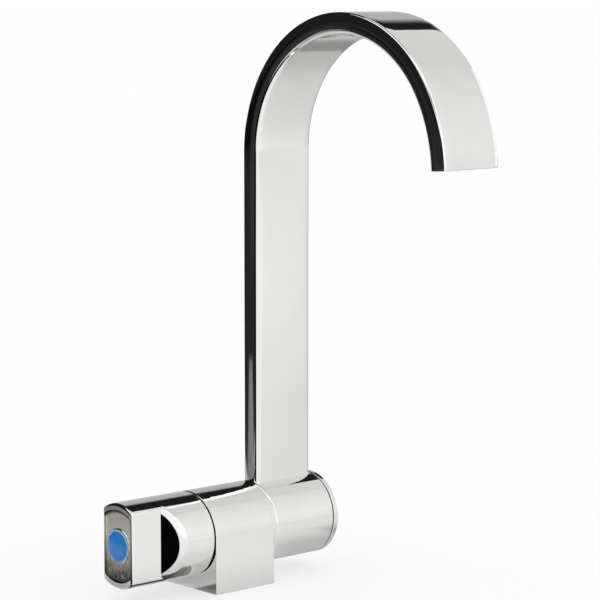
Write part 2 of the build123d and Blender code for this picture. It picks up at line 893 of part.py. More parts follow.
# Turning disc: closed at rest, with its openings beside the axis and recesses for the lugs
with BuildPart() as turning_disc:
    with BuildSketch(station(turning_disc_near)):
        Circle(disc_radius)
    extrude(amount=disc_thickness)
    with BuildSketch(station(turning_disc_near)):
        add(bow_tie(0))
    extrude(amount=disc_thickness, mode=Mode.SUBTRACT)
    with BuildSketch(station(turning_disc_near)):
        with GridLocations(0, lug_spacing, 1, 2):
            Rectangle(drive_bar_width / 2 + 2 * seat_gap, drive_lug_length + 2 * seat_gap)
    extrude(amount=drive_lug_depth + seat_gap, mode=Mode.SUBTRACT)
turning_disc.part.label = "turning_disc"
export_step(turning_disc.part, "parts/turning_disc.step")

# Spindle seal rings: two rings in the stem's grooves
with BuildPart() as spindle_seal_rings:
    for place in ring_places:
        revolve(ring_section(place, ring_circle, spindle_ring_half), axis=barrel_axis)
spindle_seal_rings.part.label = "spindle_seal_rings"
export_step(spindle_seal_rings.part, "parts/spindle_seal_rings.step")

# Stop collar: keyed on the stem's flats, with a lug that meets the stop segment
with BuildPart() as stop_collar:
    lug = ring_sector(
        stem_radius,
        headwork_neck_radius,
        stop_lug_middle_angle - stop_lug_angle / 2,
        stop_lug_angle,
    )
    with BuildSketch(station(circlip_back)):
        Circle(stem_radius + stop_collar_ring)
        add(lug)
    extrude(amount=stop_collar_thickness)
    with BuildSketch(station(circlip_back)):
        Circle(stem_radius + seat_gap)
        Rectangle(4 * stem_radius, 2 * (spindle_flat_half + seat_gap), mode=Mode.INTERSECT)
    extrude(amount=stop_collar_thickness, mode=Mode.SUBTRACT)
stop_collar.part.label = "stop_collar"
export_step(stop_collar.part, "parts/stop_collar.step")

# Circlip: open ring in the spindle's groove
with BuildPart() as spindle_circlip:
    clip = ring_sector(
        circlip_floor + seat_gap,
        circlip_radius,
        circlip_opening_angle / 2 - 90,
        360 - circlip_opening_angle,
    )
    with BuildSketch(station(circlip_front + seat_gap)):
        add(clip)
    extrude(amount=circlip_thickness - 2 * seat_gap)
spindle_circlip.part.label = "spindle_circlip"
export_step(spindle_circlip.part, "parts/spindle_circlip.step")

# Sleeve: bored for the bushes, with a water gallery, the spout's seat and the stop slot
with BuildPart() as swivel_sleeve:
    revolve(
        turned_profile(
            (sleeve_near, sleeve_bore_radius),
            (sleeve_near, barrel_radius - barrel_edge_chamfer),
            (sleeve_near + barrel_edge_chamfer, barrel_radius),
            (sleeve_far - barrel_edge_chamfer, barrel_radius),
            (sleeve_far, barrel_radius - barrel_edge_chamfer),
            (sleeve_far, end_bore_radius),
            (end_bore_floor, end_bore_radius),
            (end_bore_floor, sleeve_bore_radius),
            (gallery_far, sleeve_bore_radius),
            (gallery_far, sleeve_bore_radius + gallery_depth),
            (gallery_near, sleeve_bore_radius + gallery_depth),
            (gallery_near, sleeve_bore_radius),
        ),
        axis=barrel_axis,
    )
    with BuildSketch(Plane.XY.offset(foot_floor)):
        with Locations((ribbon_middle, 0)):
            RectangleRounded(
                ribbon_width + 2 * foot_fit,
                ribbon_thickness + 2 * foot_fit,
                ribbon_edge_radius + foot_fit,
            )
    extrude(amount=2 * foot_depth, mode=Mode.SUBTRACT)
    with BuildSketch(Plane.XY.offset(axis_height)):
        with Locations((axle_port_place, 0)):
            RectangleRounded(foot_port_width, foot_port_depth, foot_port_corner)
    extrude(amount=barrel_radius, mode=Mode.SUBTRACT)
    slot_half = stop_pin_radius + stop_slot_gap
    slot_start = stop_pin_angle - fold_travel_angle
    slot_inner = stop_pin_circle - slot_half
    slot_outer = stop_pin_circle + slot_half
    with BuildSketch(station(sleeve_near)):
        add(ring_sector(slot_inner, slot_outer, slot_start, fold_travel_angle))
        with PolarLocations(stop_pin_circle, 2, slot_start, fold_travel_angle * 2):
            Circle(slot_half)
    extrude(amount=stop_pin_proud + stop_slot_floor_gap, mode=Mode.SUBTRACT)
swivel_sleeve.part.label = "swivel_sleeve"
export_step(swivel_sleeve.part, "parts/swivel_sleeve.step")

# Spout: hollow ribbon with softened edges, one riser and two arcs of different radius
with BuildPart() as spout_tube:
    extrude(
        ribbon_profile(Plane.YZ.offset(ribbon_near), ribbon_thickness / 2), amount=ribbon_width
    )
    side_edges = spout_tube.faces().filter_by(Axis.X).edges()
    long_edges = side_edges.filter_by(lambda edge: edge.length > 1.5 * ribbon_thickness)
    fillet(long_edges, ribbon_edge_radius)
    extrude(
        ribbon_profile(
            Plane.YZ.offset(ribbon_near + ribbon_wall), ribbon_thickness / 2 - ribbon_wall
        ),
        amount=ribbon_width - 2 * ribbon_wall,
        mode=Mode.SUBTRACT,
    )
spout_tube.part.label = "spout_tube"
export_step(spout_tube.part, "parts/spout_tube.step")

# Outlet insert: flow straightener that follows the mouth's curve, with a row of slots
with BuildPart() as outlet_insert:
    insert_end = mouth_angle - degrees(insert_recess / arch_tail_radius)
    insert_start = insert_end - degrees(insert_length / arch_tail_radius)
    insert_half = ribbon_thickness / 2 - ribbon_wall - insert_fit
    insert_width = ribbon_width - 2 * (ribbon_wall + insert_fit)
    extrude(
        ribbon_profile(
            Plane.YZ.offset(ribbon_middle - insert_width / 2), insert_half, insert_start, insert_end
        ),
        amount=insert_width,
    )
    insert_middle = radians((insert_start + insert_end) / 2)
    slot_origin = (
        ribbon_middle,
        tail_centre[0] + arch_tail_radius * cos(insert_middle),
        tail_centre[1] + arch_tail_radius * sin(insert_middle),
    )
    slot_direction = (0, -sin(insert_middle), cos(insert_middle))
    slot_pitch = (insert_width - insert_slot_rim) / insert_slot_count
    slot_height = 2 * (insert_half - insert_slot_rim)
    with BuildSketch(Plane(origin=slot_origin, x_dir=(1, 0, 0), z_dir=slot_direction)):
        with GridLocations(slot_pitch, 0, insert_slot_count, 1):
            Rectangle(insert_slot_width, slot_height)
    extrude(amount=insert_length, both=True, mode=Mode.SUBTRACT)
outlet_insert.part.label = "outlet_insert"
export_step(outlet_insert.part, "parts/outlet_insert.step")

# Near bush: stands a little proud of the sleeve and bears on the collar
with BuildPart() as near_bush:
    revolve(
        turned_profile(
            (bush_near, bush_inner_radius),
            (sleeve_near + near_bush_length, bush_inner_radius),
            (sleeve_near + near_bush_length, bush_outer_radius),
            (bush_near, bush_outer_radius),
        ),
        axis=barrel_axis,
    )
near_bush.part.label = "near_bush"
export_step(near_bush.part, "parts/near_bush.step")

# Far bush: flanged, so that the disc spring presses on plastic
with BuildPart() as far_bush:
    revolve(
        turned_profile(
            (far_bush_near, bush_inner_radius),
            (flange_far, bush_inner_radius),
            (flange_far, far_flange_radius),
            (end_bore_floor, far_flange_radius),
            (end_bore_floor, bush_outer_radius),
            (far_bush_near, bush_outer_radius),
        ),
        axis=barrel_axis,
    )
far_bush.part.label = "far_bush"
export_step(far_bush.part, "parts/far_bush.step")

# End cap: thin disc with a boss ring that carries the cap's seal ring
with BuildPart() as end_cap:
    boss_radius = end_bore_radius - running_gap
    cap_ring_circle = end_bore_radius - seal_gap - cap_ring_half
    cap_groove_floor = cap_ring_circle - cap_ring_half - seal_gap
    cap_groove_half = cap_ring_half + groove_side_gap
    cap_ring_place = cap_near - cap_boss_length / 2
    revolve(
        turned_profile(
            (cap_near, 0),
            (cap_near, boss_radius - cap_boss_wall),
            (cap_near - cap_boss_length, boss_radius - cap_boss_wall),
            (cap_near - cap_boss_length, boss_radius),
            (cap_ring_place - cap_groove_half, boss_radius),
            (cap_ring_place - cap_groove_half, cap_groove_floor),
            (cap_ring_place + cap_groove_half, cap_groove_floor),
            (cap_ring_place + cap_groove_half, boss_radius),
            (cap_near, boss_radius),
            (cap_near, barrel_radius - barrel_edge_chamfer),
            (cap_near + barrel_edge_chamfer, barrel_radius),
            (cap_far - cap_edge_chamfer, barrel_radius),
            (cap_far, barrel_radius - cap_edge_chamfer),
            (cap_far, 0),
        ),
        axis=barrel_axis,
    )
end_cap.part.label = "end_cap"
export_step(end_cap.part, "parts/end_cap.step")

# Cap seal ring: grips the sleeve's end bore
with BuildPart() as cap_seal_ring:
    revolve(ring_section(cap_ring_place, cap_ring_circle, cap_ring_half), axis=barrel_axis)
cap_seal_ring.part.label = "cap_seal_ring"
export_step(cap_seal_ring.part, "parts/cap_seal_ring.step")
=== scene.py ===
"""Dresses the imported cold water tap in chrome, brass, rubber and plastic, in a pale studio."""

import json
import math

import bmesh
import bpy
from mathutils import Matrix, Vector


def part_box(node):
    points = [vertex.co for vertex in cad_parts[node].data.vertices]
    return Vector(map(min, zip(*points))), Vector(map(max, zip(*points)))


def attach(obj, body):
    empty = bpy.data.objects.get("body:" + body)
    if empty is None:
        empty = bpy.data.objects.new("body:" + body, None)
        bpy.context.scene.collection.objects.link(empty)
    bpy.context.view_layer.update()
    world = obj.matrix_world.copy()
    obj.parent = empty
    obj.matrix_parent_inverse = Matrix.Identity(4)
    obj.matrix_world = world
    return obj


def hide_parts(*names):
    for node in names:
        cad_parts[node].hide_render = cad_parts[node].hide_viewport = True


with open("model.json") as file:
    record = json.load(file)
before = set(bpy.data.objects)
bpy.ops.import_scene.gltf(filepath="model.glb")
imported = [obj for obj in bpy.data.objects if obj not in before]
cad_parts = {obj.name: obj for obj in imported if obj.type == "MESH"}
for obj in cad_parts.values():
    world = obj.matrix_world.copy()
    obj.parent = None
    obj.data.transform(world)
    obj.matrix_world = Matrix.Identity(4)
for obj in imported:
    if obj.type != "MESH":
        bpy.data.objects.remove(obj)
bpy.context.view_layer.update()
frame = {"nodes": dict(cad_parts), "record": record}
nodes = frame["nodes"]

MM = 0.001
AXIS_HEIGHT = 22.5 * MM
ROUND_STEPS = 180
CLOSE = 0.01 * MM
TINY = 0.001 * MM


class Number:
    """A number flowing through a material. A sum written on it adds its Math nodes."""

    def __init__(self, graph, socket):
        self.graph = graph
        self.socket = socket

    def math(self, operation, *values):
        inputs = dict(enumerate(values))
        return self.graph.number("ShaderNodeMath", {"operation": operation}, inputs)

    def __add__(self, other):
        return self.math("ADD", self, other)

    def __radd__(self, other):
        return self.math("ADD", other, self)

    def __sub__(self, other):
        return self.math("SUBTRACT", self, other)

    def __rsub__(self, other):
        return self.math("SUBTRACT", other, self)

    def __mul__(self, other):
        return self.math("MULTIPLY", self, other)

    def __pow__(self, other):
        return self.math("POWER", self, other)

    def larger(self, other):
        return self.math("MAXIMUM", self, other)

    def smaller(self, other):
        return self.math("MINIMUM", self, other)

    def root(self):
        return self.math("SQRT", self)

    def rise(self, low, high):
        """0 below low, 1 above high, and a smooth step between. A low above high falls instead."""
        settings = {"interpolation_type": "SMOOTHSTEP"}
        span = {"From Min": low, "From Max": high}
        return self.graph.number("ShaderNodeMapRange", settings, {"Value": self, **span})

    def between(self, low, high):
        """Stretches 0 to 1 into low to high."""
        return self * (high - low) + low


class Graph:
    """The nodes of one material or world."""

    def __init__(self, tree):
        self.tree = tree
        tree.nodes.clear()

    def node(self, kind, settings=None, inputs=None):
        node = self.tree.nodes.new(kind)
        for name, value in (settings or {}).items():
            if name == "stops":
                self.set_stops(node.color_ramp, value)
            else:
                setattr(node, name, value)
        for name, value in (inputs or {}).items():
            source = value.socket if isinstance(value, Number) else value
            if isinstance(source, bpy.types.NodeSocket):
                self.tree.links.new(source, node.inputs[name])
            else:
                node.inputs[name].default_value = source
        return node

    def number(self, kind, settings=None, inputs=None, output=0):
        return Number(self, self.node(kind, settings, inputs).outputs[output])

    def set_stops(self, ramp, stops):
        while len(ramp.elements) > 1:
            ramp.elements.remove(ramp.elements[-1])
        ramp.elements[0].position = stops[0][0]
        ramp.elements[0].color = (*stops[0][1], 1)
        for position, colour in stops[1:]:
            ramp.elements.new(position).color = (*colour, 1)

    def place(self, stretch=(1, 1, 1), turn=(0, 0, 0)):
        """The point on the piece, in metres, stretched and turned for a pattern."""
        point = self.node("ShaderNodeTexCoord").outputs["Object"]
        inputs = {"Vector": point, "Scale": stretch, "Rotation": turn}
        return self.node("ShaderNodeMapping", None, inputs).outputs[0]

    def axes(self, point):
        """A point's X, Y and Z as three numbers."""
        parts = self.node("ShaderNodeSeparateXYZ", None, {0: point})
        return [Number(self, socket) for socket in parts.outputs]

    def noise(self, place, scale, detail=2.0, roughness=0.5):
        inputs = {"Vector": place, "Scale": scale, "Detail": detail, "Roughness": roughness}
        return self.number("ShaderNodeTexNoise", None, inputs)

    def tint(self, amount, *colours):
        """A colour that runs through the given ones as the amount goes from 0 to 1."""
        last = len(colours) - 1
        stops = [(i / last, colour) for i, colour in enumerate(colours)]
        return self.node("ShaderNodeValToRGB", {"stops": stops}, {"Fac": amount}).outputs[0]

    def bump(self, height, depth, below=None):
        """A bump of a depth in metres for a height that goes from 0 to 1."""
        inputs = {"Height": height, "Distance": depth}
        if below:
            inputs["Normal"] = below
        return self.node("ShaderNodeBump", None, inputs).outputs[0]

    def surface(self, **inputs):
        named = {name.replace("_", " "): value for name, value in inputs.items()}
        shader = self.node("ShaderNodeBsdfPrincipled", None, named).outputs[0]
        self.node("ShaderNodeOutputMaterial", None, {"Surface": shader})


def material(name, dress):
    """A new material whose nodes the given function adds."""
    made = bpy.data.materials.new(name)
    made.use_nodes = True
    dress(Graph(made.node_tree))
    return made


def off_axis(across, height):
    """Distance from the barrel axis."""
    return (across**2 + (height - AXIS_HEIGHT) ** 2).root()


def polished_chrome(g):
    place = g.place()
    cloud = g.noise(place, 45.0, 3.0)
    ripple = g.noise(place, 70.0, 1.0)
    wipes = g.noise(g.place((900, 900, 60)), 1.0, 3.0)
    smear = g.noise(place, 160.0, 4.0, 0.6).rise(0.5, 0.75)
    g.surface(
        Base_Color=g.tint(cloud, (0.82, 0.825, 0.805), (0.92, 0.92, 0.905)),
        Metallic=1.0,
        Roughness=wipes.between(0.015, 0.045) + smear * 0.03,
        Normal=g.bump(ripple, 0.03 * MM),
    )


def brushed_plate(g):
    """Upright brushing, random blotches darkened below the button as painted shade, a painted
    sheen above it, and painted shade along the recess border.
    """
    _, across, height = g.axes(g.place())
    grain = g.noise(g.place((1, 1900, 70)), 1.0, 3.0, 0.65)
    fine = g.noise(g.place((1, 7000, 160)), 1.0, 2.0, 0.6)
    blotch = g.noise(g.place((1, 1, 0.8)), 420.0, 4.0, 0.65)
    # Painted shade: the blotches darken only below the button, and a painted sheen brightens the
    # metal above it.
    blotchy_lower_shade = height.rise(18.0 * MM, 11.0 * MM) * blotch.rise(0.3, 0.6)
    upper_sheen = height.rise(18.0 * MM, 27.0 * MM)
    # Painted shade in the recess: the plate darkens towards its border.
    border = (off_axis(across, height) + blotch * 0.6 * MM).rise(13.1 * MM, 14.2 * MM)
    shade = grain + fine * 0.2 + blotch * 0.3 + upper_sheen * 0.42 - blotchy_lower_shade * 0.6 - border * 0.9 - 0.17
    g.surface(
        Base_Color=g.tint(shade, (0.1, 0.09, 0.08), (0.42, 0.4, 0.37), (0.95, 0.92, 0.87)),
        Metallic=1.0,
        Roughness=blotch.between(0.24, 0.4),
        Normal=g.bump(grain, 0.03 * MM, g.bump(fine, 0.01 * MM)),
    )


def blue_lens(g):
    """Blue from behind, which pales in the clear border of the dome."""
    place = g.place()
    _, across, height = g.axes(place)
    border = off_axis(across, height).rise(5.7 * MM, 6.1 * MM)
    depth = g.noise(place, 300.0, 2.0) * 0.5 + border * 0.5
    g.surface(
        Base_Color=g.tint(depth, (0.01, 0.13, 0.42), (0.02, 0.19, 0.52), (0.5, 0.68, 0.78)),
        Roughness=g.noise(place, 900.0, 2.0).between(0.12, 0.22),
        IOR=1.33,
        Coat_Weight=0.6,
        Coat_Roughness=0.03,
        Normal=g.bump(g.noise(place, 500.0, 1.0), 0.02 * MM),
    )


def turned_brass(g):
    rings = g.noise(g.place((9000, 60, 60)), 1.0, 2.0)
    tarnish = g.noise(g.place(), 140.0, 4.0, 0.6)
    g.surface(
        Base_Color=g.tint(tarnish, (0.5, 0.33, 0.12), (0.72, 0.52, 0.22), (0.8, 0.62, 0.3)),
        Metallic=1.0,
        Roughness=rings.between(0.18, 0.34),
        Normal=g.bump(rings, 0.02 * MM),
    )


def satin_steel(g):
    lines = g.noise(g.place((7000, 90, 90)), 1.0, 2.0)
    haze = g.noise(g.place(), 200.0, 3.0)
    g.surface(
        Base_Color=g.tint(haze, (0.5, 0.5, 0.5), (0.66, 0.66, 0.65)),
        Metallic=1.0,
        Roughness=lines.between(0.22, 0.36),
        Normal=g.bump(lines, 0.015 * MM),
    )


def black_rubber(g):
    place = g.place()
    bloom = g.noise(place, 120.0, 4.0, 0.6)
    pores = g.noise(place, 3500.0, 2.0)
    g.surface(
        Base_Color=g.tint(bloom, (0.012, 0.012, 0.012), (0.035, 0.034, 0.033)),
        Roughness=bloom.between(0.55, 0.8),
        Normal=g.bump(pores, 0.03 * MM),
    )


def red_fibre(g):
    place = g.place()
    fibres = g.noise(g.place((1, 1, 0.2)), 2600.0, 4.0, 0.7)
    g.surface(
        Base_Color=g.tint(fibres, (0.26, 0.05, 0.03), (0.45, 0.13, 0.08)),
        Roughness=g.noise(place, 700.0).between(0.6, 0.85),
        Normal=g.bump(fibres, 0.04 * MM),
    )


def white_ceramic(g):
    place = g.place()
    speck = g.noise(place, 1800.0, 3.0)
    g.surface(
        Base_Color=g.tint(speck, (0.78, 0.77, 0.73), (0.86, 0.85, 0.81)),
        Roughness=speck.between(0.12, 0.2),
        Normal=g.bump(speck, 0.004 * MM),
    )


def moulded_plastic(dark, light):
    """A moulding with a fine spark texture, in a range of one colour."""

    def dress(g):
        place = g.place()
        cloud = g.noise(place, 150.0, 3.0)
        spark = g.noise(place, 4000.0, 2.0)
        g.surface(
            Base_Color=g.tint(cloud, dark, light),
            Roughness=cloud.between(0.35, 0.5),
            Normal=g.bump(spark, 0.01 * MM),
        )

    return dress


finishes = {
    "chrome": material("polished_chrome", polished_chrome),
    "brushed_plate": material("brushed_plate", brushed_plate),
    "blue_lens": material("blue_lens", blue_lens),
    "brass": material("turned_brass", turned_brass),
    "ceramic": material("white_ceramic", white_ceramic),
    "rubber": material("black_rubber", black_rubber),
    "fibre": material("red_fibre", red_fibre),
    "steel": material("satin_steel", satin_steel),
    "black_plastic": material("black_plastic", moulded_plastic((0.012,) * 3, (0.03,) * 3)),
    "white_plastic": material("white_plastic", moulded_plastic((0.7, 0.7, 0.68), (0.8,) * 3)),
}
slot_of = {part["node"]: part["material_slot"] for part in frame["record"]["subparts"]}
for node_name, node in nodes.items():
    node.data.materials.clear()
    node.data.materials.append(finishes[slot_of[node_name]])


def make_active(piece):
    bpy.ops.object.select_all(action="DESELECT")
    piece.select_set(True)
    bpy.context.view_layer.objects.active = piece


def edit(piece):
    make_active(piece)
    bpy.ops.object.mode_set(mode="EDIT")
    bpy.ops.mesh.select_all(action="SELECT")


def leave_edit():
    bpy.ops.object.mode_set(mode="OBJECT")


def keep_place():
    """Puts the active object's place, turn and size into its mesh."""
    bpy.ops.object.transform_apply(location=True, rotation=True, scale=True)


def pick(kind, test):
    """In edit mode, selects only the verts, edges or faces that pass a test."""
    mesh = bpy.context.edit_object.data
    bpy.ops.mesh.select_mode(type={"verts": "VERT", "edges": "EDGE", "faces": "FACE"}[kind])
    bpy.ops.mesh.select_all(action="DESELECT")
    shape = bmesh.from_edit_mesh(mesh)
    for element in getattr(shape, kind):
        if test(element):
            element.select_set(True)
    shape.select_flush(True)
    bmesh.update_edit_mesh(mesh)


def trim(place, normal, fill):
    """In edit mode, cuts away all that lies on the side of a plane that its normal points to."""
    bpy.ops.mesh.select_all(action="SELECT")
    bpy.ops.mesh.bisect(
        plane_co=place,
        plane_no=normal,
        clear_outer=True,
        use_fill=fill,
        threshold=TINY,
    )


def close_up():
    """In edit mode, merges doubled points and turns the faces outwards."""
    bpy.ops.mesh.select_all(action="SELECT")
    bpy.ops.mesh.remove_doubles(threshold=TINY)
    bpy.ops.mesh.normals_make_consistent(inside=False)


def round_outline(test, size, segments):
    """In edit mode, rounds the outline of the faces that pass a test."""
    pick("faces", test)
    bpy.ops.mesh.region_to_loop()
    bpy.ops.mesh.bevel(offset=size, segments=segments, affect="EDGES")


def apply_modifier(piece, kind, **settings):
    make_active(piece)
    modifier = piece.modifiers.new(kind.lower(), kind)
    for name, value in settings.items():
        setattr(modifier, name, value)
    bpy.ops.object.modifier_apply(modifier=modifier.name)


def cut(piece, cutter):
    """Takes the cutter out of a piece, and removes the cutter."""
    apply_modifier(piece, "BOOLEAN", operation="DIFFERENCE", object=cutter, solver="EXACT")
    bpy.data.objects.remove(cutter)


def join(piece, other):
    """Adds a second solid to a piece, and removes the second one."""
    apply_modifier(piece, "BOOLEAN", operation="UNION", object=other, solver="EXACT")
    bpy.data.objects.remove(other)


def smooth(piece, angle=30.0):
    """Smooth shading with crisp edges above an angle, led by the large faces."""
    make_active(piece)
    bpy.ops.object.shade_smooth_by_angle(angle=math.radians(angle))
    apply_modifier(piece, "WEIGHTED_NORMAL", keep_sharp=True, weight=50)


def fit_out(piece, body, slot, *replaced):
    """Gives a finished piece its material, its body and the CAD nodes that it stands for."""
    piece.data.materials.clear()
    piece.data.materials.append(finishes[slot])
    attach(piece, body)
    if replaced:
        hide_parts(*replaced)


def barrel_circle(name, place, radius, cap):
    """A circle about the barrel axis at a place along it, open or filled."""
    bpy.ops.mesh.primitive_circle_add(
        vertices=ROUND_STEPS,
        radius=radius,
        fill_type="NGON" if cap else "NOTHING",
        location=(place, 0, AXIS_HEIGHT),
        rotation=(0, math.radians(90), 0),
    )
    piece = bpy.context.object
    piece.name = name
    keep_place()
    return piece


def turned(name, corners):
    """A piece turned about the barrel axis through corners given as place and radius.

    A profile whose first or last corner is on the axis gets a filled face there. Any other
    profile is a ring that closes on its first corner.
    """
    solid_start = corners[0][1] == 0
    solid_end = corners[-1][1] == 0
    corners = [corner for corner in corners if corner[1] > 0]
    place, radius = corners[0]
    piece = barrel_circle(name, place, radius, solid_start)
    edit(piece)
    path = corners[1:] if solid_start or solid_end else corners[1:] + corners[:1]
    for next_place, next_radius in path:
        along = {"value": (next_place - place, 0, 0)}
        bpy.ops.mesh.extrude_edges_move(TRANSFORM_OT_translate=along)
        grow = next_radius / radius
        centre = (next_place, 0, AXIS_HEIGHT)
        bpy.ops.transform.resize(value=(1, grow, grow), center_override=centre)
        place, radius = next_place, next_radius
    if solid_end:
        bpy.ops.mesh.edge_face_add()
    close_up()
    leave_edit()
    return piece


def on_ring(edge, place, radius):
    """True for an edge that lies on the circle of a place and radius."""
    for vertex in edge.verts:
        reach = math.hypot(vertex.co.y, vertex.co.z - AXIS_HEIGHT)
        if abs(vertex.co.x - place) > CLOSE or abs(reach - radius) > CLOSE:
            return False
    return True


def round_rings(piece, size, *rings):
    """Rounds the circles of a turned piece that are named by place and radius."""
    edit(piece)
    pick("edges", lambda edge: any(on_ring(edge, place, radius) for place, radius in rings))
    bpy.ops.mesh.bevel(offset=size, segments=4, affect="EDGES")
    leave_edit()


# Barrel: sleeve and end cap
block_low, block_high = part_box("tap_body")
sleeve_low, sleeve_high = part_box("swivel_sleeve")
cap_low, cap_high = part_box("end_cap")
BARREL_RADIUS = sleeve_high.y
BARREL_EDGE = 0.3 * MM
SLEEVE_EDGE = 1.1 * MM
JOINT_CLOSING = 0.08 * MM
JOINT_OPENING = 0.3 * MM
SLEEVE_BORE = 12.5 * MM
END_BORE = 14.2 * MM
END_BORE_DEPTH = 5.2 * MM
CAP_THICKNESS = 2.3 * MM
CAP_EDGE = 0.5 * MM


def barrel_sleeve():
    near, far = sleeve_low.x - JOINT_CLOSING, sleeve_high.x - JOINT_OPENING
    floor = far - END_BORE_DEPTH
    outside = [(near, SLEEVE_BORE), (near, BARREL_RADIUS), (far, BARREL_RADIUS)]
    inside = [(far, END_BORE), (floor, END_BORE), (floor, SLEEVE_BORE)]
    piece = turned("barrel_sleeve", outside + inside)
    round_rings(piece, SLEEVE_EDGE, (near, BARREL_RADIUS))
    round_rings(piece, BARREL_EDGE, (far, BARREL_RADIUS))
    smooth(piece)
    return piece


def barrel_cap():
    boss_radius = END_BORE - 0.05 * MM
    far = cap_high.x
    near = far - CAP_THICKNESS
    boss = [(cap_low.x, 0), (cap_low.x, boss_radius), (near, boss_radius)]
    disc = [(near, BARREL_RADIUS), (far, BARREL_RADIUS), (far, 0)]
    piece = turned("barrel_cap", boss + disc)
    round_rings(piece, BARREL_EDGE, (near, BARREL_RADIUS))
    round_rings(piece, CAP_EDGE, (far, BARREL_RADIUS))
    smooth(piece)
    return piece


fit_out(barrel_sleeve(), "spout", "chrome", "swivel_sleeve")
fit_out(barrel_cap(), "spout", "chrome", "end_cap")

# Block with its collar
BLOCK_FAR = 15.25 * MM
BLOCK_EDGE = 0.35 * MM
HOLE_STEPS = 64
THREAD_STEPS = 48
THREAD_PITCH = 1.0 * MM
# Each hole's place along X and Y, its radius and its depth
THREADED_HOLES = {
    "inlet": (-6.39 * MM, 0, 4.5 * MM, 9.0 * MM),
    "front_stud": (7.0 * MM, -9.0 * MM, 2.5 * MM, 9.0 * MM),
    "back_stud": (7.0 * MM, 9.0 * MM, 2.5 * MM, 9.0 * MM),
}


def drill(place_x, place_y, radius, depth):
    """A cylinder that stands through the block's underside."""
    bpy.ops.mesh.primitive_cylinder_add(
        vertices=HOLE_STEPS, radius=radius, depth=2 * depth, location=(place_x, place_y, 0)
    )
    keep_place()
    return bpy.context.object


def block():
    """The front outline of the block, drawn out along the barrel."""
    near = block_low.x
    piece = barrel_circle("block", near, BARREL_RADIUS, True)
    edit(piece)
    trim((near, 0, AXIS_HEIGHT), (0, 0, -1), False)
    pick("edges", lambda edge: all(abs(v.co.z - AXIS_HEIGHT) < TINY for v in edge.verts))
    down = {"value": (0, 0, -AXIS_HEIGHT)}
    bpy.ops.mesh.extrude_edges_move(TRANSFORM_OT_translate=down)
    bpy.ops.mesh.select_all(action="SELECT")
    bpy.ops.mesh.dissolve_faces()
    along = {"value": (BLOCK_FAR - near, 0, 0)}
    bpy.ops.mesh.extrude_region_move(TRANSFORM_OT_translate=along)
    close_up()
    pick("edges", lambda edge: abs(edge.verts[0].co.x - edge.verts[1].co.x) < TINY)
    bpy.ops.mesh.bevel(offset=BLOCK_EDGE, segments=3, affect="EDGES")
    leave_edit()
    for hole in THREADED_HOLES.values():
        cut(piece, drill(*hole))
    smooth(piece)
    return piece


def hole_thread(name, place_x, place_y, radius, depth):
    """A helical ridge that stands out of the wall of a drilled hole."""
    bpy.ops.mesh.primitive_circle_add(
        vertices=3,
        radius=0.5 * THREAD_PITCH,
        location=(radius, 0, 0),
        rotation=(math.pi / 2, 0, 0),
    )
    ridge = bpy.context.object
    ridge.name = f"{name}_thread"
    keep_place()
    turns = int(depth / THREAD_PITCH) - 2
    apply_modifier(
        ridge,
        "SCREW",
        screw_offset=THREAD_PITCH,
        iterations=turns,
        steps=THREAD_STEPS,
        render_steps=THREAD_STEPS,
    )
    edit(ridge)
    bpy.ops.transform.translate(value=(place_x, place_y, THREAD_PITCH))
    close_up()
    leave_edit()
    smooth(ridge)
    return ridge


def block_collar():
    near = BLOCK_FAR - 2 * BLOCK_EDGE
    far = block_high.x + JOINT_CLOSING
    outline = [(near, 0), (near, BARREL_RADIUS), (far, BARREL_RADIUS), (far, 0)]
    piece = turned("block_collar", outline)
    round_rings(piece, BARREL_EDGE, (far, BARREL_RADIUS))
    smooth(piece)
    return piece


fit_out(block(), "base", "chrome", "tap_body")
fit_out(block_collar(), "base", "chrome", "tap_body")
for hole_name, hole in THREADED_HOLES.items():
    fit_out(hole_thread(hole_name, *hole), "base", "brass")

# Ribbon spout
spout_low, spout_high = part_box("spout_tube")
RIBBON_WIDTH = spout_high.x - spout_low.x
RIBBON_MIDDLE = (spout_low.x + spout_high.x) / 2
RIBBON_THICKNESS = 8.4 * MM
RIBBON_WALL = 1.1 * MM
RIBBON_INNER_EDGE = 2.0 * MM
RIBBON_OUTER_EDGE = 0.8 * MM
ARCH_RADIUS = 52.4 * MM
ARCH_START = 173.4 * MM
ARCH_ANGLE = 151.0
ARCH_STEPS = 120
TAIL_RADIUS = 63.4 * MM
TAIL_ANGLE = 25.7
TAIL_STEPS = 20
MOUTH_EDGE = 0.25 * MM
FACE_CUTS = 23
SIDE_CUTS = 5
FACE_CROWN_START = 11.0 * MM
FACE_CROWN_DROP = 0.12 * MM
SIDE_CROWN_DROP = 0.35 * MM


def crown(across, along, half_depth, start, drop):
    """Rounds a section gently: beyond a start place it is drawn in, most at its edge.

    Across and along are the numbers of the axes, 0 for X and 1 for Y.
    """
    middle = (RIBBON_MIDDLE, 0, spout_low.z)

    def reach_of(vertex):
        return round(abs(vertex.co[along] - middle[along]), 7)

    shape = bmesh.from_edit_mesh(bpy.context.edit_object.data)
    reaches = sorted({reach_of(vertex) for vertex in shape.verts})
    for reach in reaches:
        if reach <= start:
            continue
        share = ((reach - start) / (reaches[-1] - start)) ** 2
        pick("verts", lambda vertex: reach_of(vertex) == reach)
        value = [1, 1, 1]
        value[across] = 1 - share * drop / half_depth
        bpy.ops.transform.resize(value=value, center_override=middle)


